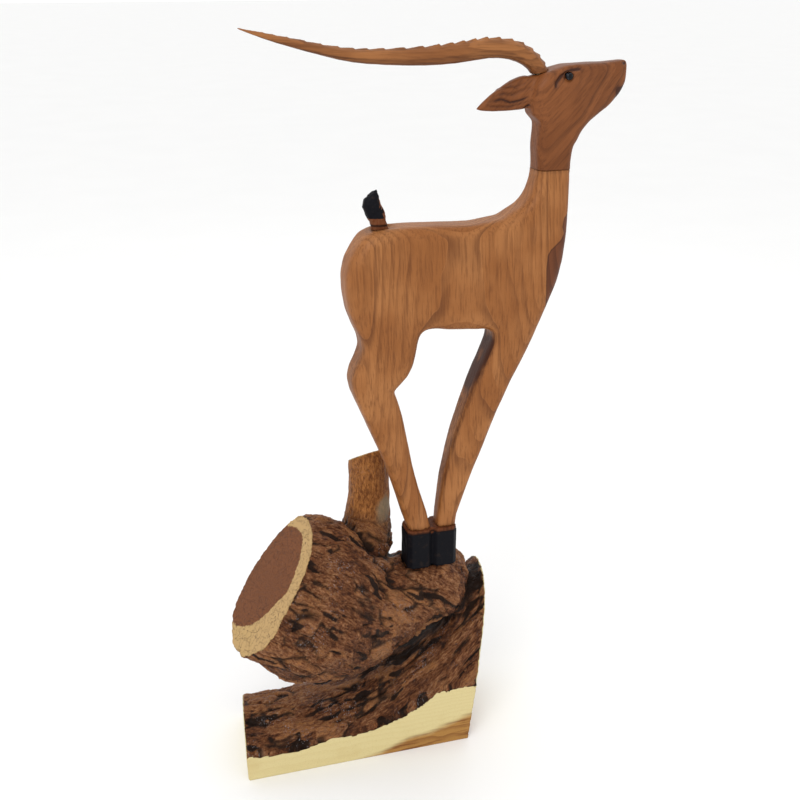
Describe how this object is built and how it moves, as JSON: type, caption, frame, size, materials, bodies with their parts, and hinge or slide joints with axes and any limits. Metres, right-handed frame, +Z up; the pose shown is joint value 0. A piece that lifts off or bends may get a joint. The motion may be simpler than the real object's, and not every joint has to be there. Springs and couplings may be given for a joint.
{
  "type": "carved antelope statue",
  "caption": "Board-carved wooden antelope with one long swept-back serrated horn, standing on a forked bark-covered log with sawn faces.",
  "frame": {"origin": "on the floor under the middle of the hoof block, in the animal's middle plane", "axes": "+Z up, +X the way the animal faces, Y across the carved board"},
  "size_m": [0.5324, 0.2045, 0.9996],
  "materials": {
    "bark_log": "rough furrowed bark under clear varnish, pale sapwood on the sawn faces",
    "hoof_black": "black satin paint over wood",
    "body_wood": "satin varnish, upright cathedral grain",
    "head_wood": "satin varnish, slanting grain",
    "horn_wood": "satin varnish, grain along the horn",
    "tail_black": "black satin paint over carved wood, brown at the root",
    "eye_bead": "polished dark bead",
    "dowel_wood": "raw turned hardwood"
  },
  "bodies": {
    "root": {"log_base": "bark_log", "hoof_block": "hoof_black", "leg_dowels": "dowel_wood", "torso_and_legs": "body_wood", "neck_dowels": "dowel_wood", "neck_and_head": "head_wood", "horn": "horn_wood", "horn_dowel": "dowel_wood", "tail": "tail_black", "tail_dowel": "dowel_wood", "eye_left": "eye_bead", "eye_right": "eye_bead"}
  },
  "joints": []
}
